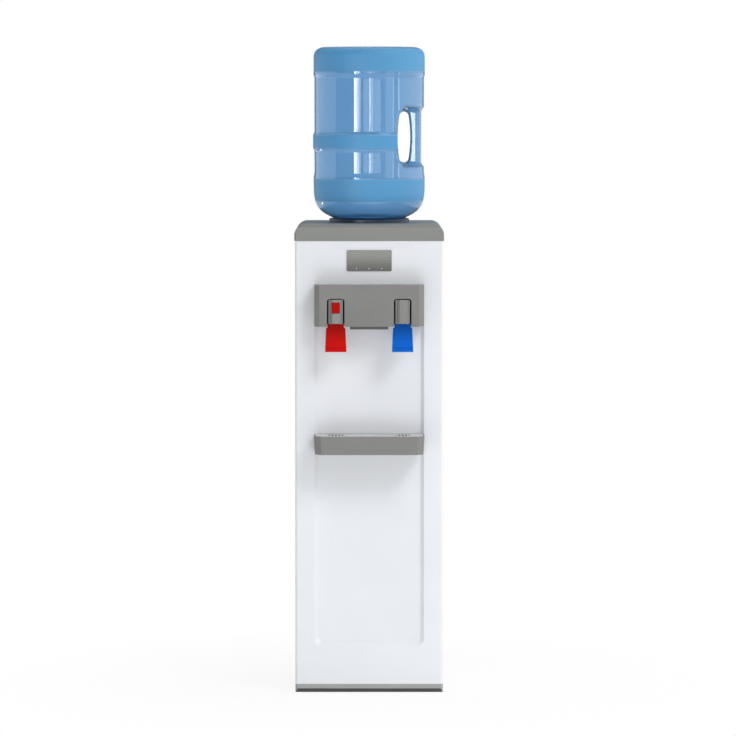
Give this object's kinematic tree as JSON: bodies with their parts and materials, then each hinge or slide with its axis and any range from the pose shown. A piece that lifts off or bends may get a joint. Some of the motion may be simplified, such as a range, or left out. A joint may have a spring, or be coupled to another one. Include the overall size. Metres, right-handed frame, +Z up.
{
  "type": "free-standing bottled water cooler",
  "caption": "Free-standing hot and cold water cooler with an inverted bottle, two lever taps, child lock, pull-out drip tray and rear condenser",
  "frame": {"origin": "on the floor, in the middle of the footprint's box", "axes": "+Z up, the front faces -Y, +X to the right of a viewer who faces the front"},
  "size_m": [0.313, 0.412, 1.354],
  "materials": {
    "white_plastic": "moulded ABS, satin",
    "white_steel": "powder coated sheet, satin",
    "galvanised_steel": "zinc coated sheet, dull",
    "grey_plastic": "moulded ABS, fine texture",
    "dark_grey_plastic": "moulded ABS, fine texture",
    "light_grey_plastic": "moulded ABS, fine texture",
    "black_plastic": "moulded, semi-gloss",
    "rubber": "matt",
    "lens_plastic": "clear moulded, milky",
    "circuit_board": "solder mask",
    "red_plastic": "moulded, glossy",
    "blue_plastic": "moulded, glossy",
    "green_plastic": "moulded, glossy",
    "spring_steel": "bright wire and pins",
    "natural_plastic": "moulded polypropylene",
    "silicone": "food grade, matt",
    "bottle_plastic": "clear blue polycarbonate, glossy",
    "white_fitting": "moulded",
    "stainless_steel": "drawn, satin",
    "copper": "drawn copper tube",
    "foam": "expanded foam",
    "black_steel": "black enamel"
  },
  "bodies": {
    "root": {"front_panel": "white_plastic", "side_panel_left": "white_steel", "side_panel_right": "white_steel", "back_panel": "galvanised_steel", "top_cover": "grey_plastic", "bottle_seat": "black_plastic", "base_skirt": "grey_plastic", "base_plate": "galvanised_steel", "feet": "rubber", "indicator_plate": "grey_plastic", "indicator_lenses": "lens_plastic", "indicator_board": "circuit_board", "tap_housing": "grey_plastic", "housing_bottom_cover": "dark_grey_plastic", "lever_pins": "spring_steel", "hot_tap_body": "natural_plastic", "cold_tap_body": "natural_plastic", "tap_bonnets": "natural_plastic", "hot_valve_spring": "spring_steel", "cold_valve_spring": "spring_steel", "feed_probe": "natural_plastic", "air_filter": "white_fitting", "cold_tank": "stainless_steel", "cold_tank_lid": "natural_plastic", "cooling_coil": "copper", "cold_tank_foam": "foam", "tank_shelf": "galvanised_steel", "hot_tank": "stainless_steel", "hot_tank_jacket": "foam", "heater_band": "galvanised_steel", "hot_thermostats": "black_plastic", "hot_tank_cradle": "galvanised_steel", "water_hoses": "silicone", "compressor": "black_steel", "compressor_grommets": "rubber", "relay_cover": "black_plastic", "condenser_tube": "black_steel", "condenser_wires": "black_steel", "filter_drier": "copper", "refrigerant_lines": "copper", "switch_frames": "black_plastic", "cord_gland": "black_plastic", "drain_spout": "natural_plastic", "panel_screws": "spring_steel"},
    "hot_lever": {"hot_key": "grey_plastic", "hot_paddle": "red_plastic", "lock_spring": "spring_steel"},
    "cold_lever": {"cold_key": "grey_plastic", "cold_paddle": "blue_plastic"},
    "child_lock": {"lock_button": "red_plastic"},
    "hot_stem": {"hot_valve_stem": "silicone"},
    "cold_stem": {"cold_valve_stem": "silicone"},
    "tray": {"drip_tray": "grey_plastic"},
    "grille": {"drip_grille": "light_grey_plastic"},
    "bottle_body": {"bottle": "bottle_plastic", "bottle_cap": "blue_plastic"},
    "plug": {"cap_plug": "white_fitting"},
    "hot_rocker_body": {"hot_rocker": "red_plastic"},
    "cold_rocker_body": {"cold_rocker": "green_plastic"},
    "drain_cap_body": {"drain_cap": "black_plastic"}
  },
  "joints": [
    {"name": "hot_lever_swing", "type": "hinge", "parent": "root", "child": "hot_lever", "pos_m": [-0.0695, -0.174, 0.8385], "axis": [1, 0, 0], "range_deg": [0, 12], "stiffness_Nm_per_rad": 0.5, "springref_deg": -8.59},
    {"name": "cold_lever_swing", "type": "hinge", "parent": "root", "child": "cold_lever", "pos_m": [0.0695, -0.174, 0.8385], "axis": [1, 0, 0], "range_deg": [0, 12], "stiffness_Nm_per_rad": 0.5, "springref_deg": -8.59},
    {"name": "child_lock_press", "type": "slide", "parent": "hot_lever", "child": "child_lock", "axis": [0, 1, 0], "range_m": [0, 0.002], "stiffness_N_per_m": 300, "springref_m": -0.001, "deforming": ["lock_spring"]},
    {"name": "hot_valve_lift", "type": "slide", "parent": "root", "child": "hot_stem", "axis": [0, 0, 1], "range_m": [0, 0.0045], "deforming": ["hot_valve_spring"]},
    {"name": "cold_valve_lift", "type": "slide", "parent": "root", "child": "cold_stem", "axis": [0, 0, 1], "range_m": [0, 0.0045], "deforming": ["cold_valve_spring"]},
    {"name": "tray_pull", "type": "slide", "parent": "root", "child": "tray", "axis": [0, -1, 0], "range_m": [0, 0.09]},
    {"name": "grille_lift", "type": "slide", "parent": "tray", "child": "grille", "axis": [0, 0, 1], "range_m": [0, 0.04]},
    {"name": "bottle_lift", "type": "slide", "parent": "root", "child": "bottle_body", "axis": [0, 0, 1], "range_m": [0, 0.11]},
    {"name": "plug_reseat", "type": "slide", "parent": "bottle_body", "child": "plug", "axis": [0, 0, 1], "range_m": [-0.0098, 0]},
    {"name": "hot_switch_tilt", "type": "hinge", "parent": "root", "child": "hot_rocker_body", "pos_m": [0.088, 0.1738, 0.8785], "axis": [1, 0, 0], "range_deg": [-18, 0]},
    {"name": "cold_switch_tilt", "type": "hinge", "parent": "root", "child": "cold_rocker_body", "pos_m": [0.116, 0.1738, 0.8785], "axis": [1, 0, 0], "range_deg": [-18, 0]},
    {"name": "drain_cap_turn", "type": "hinge", "parent": "root", "child": "drain_cap_body", "pos_m": [0.121, 0.176, 0.3], "axis": [0, 1, 0], "continuous": true}
  ],
  "couplings": [
    {"joint": "hot_valve_lift", "follows": "hot_lever_swing", "m_per_rad": 0.021},
    {"joint": "cold_valve_lift", "follows": "cold_lever_swing", "m_per_rad": 0.021},
    {"joint": "plug_reseat", "follows": "bottle_lift", "ratio": -0.0885}
  ]
}
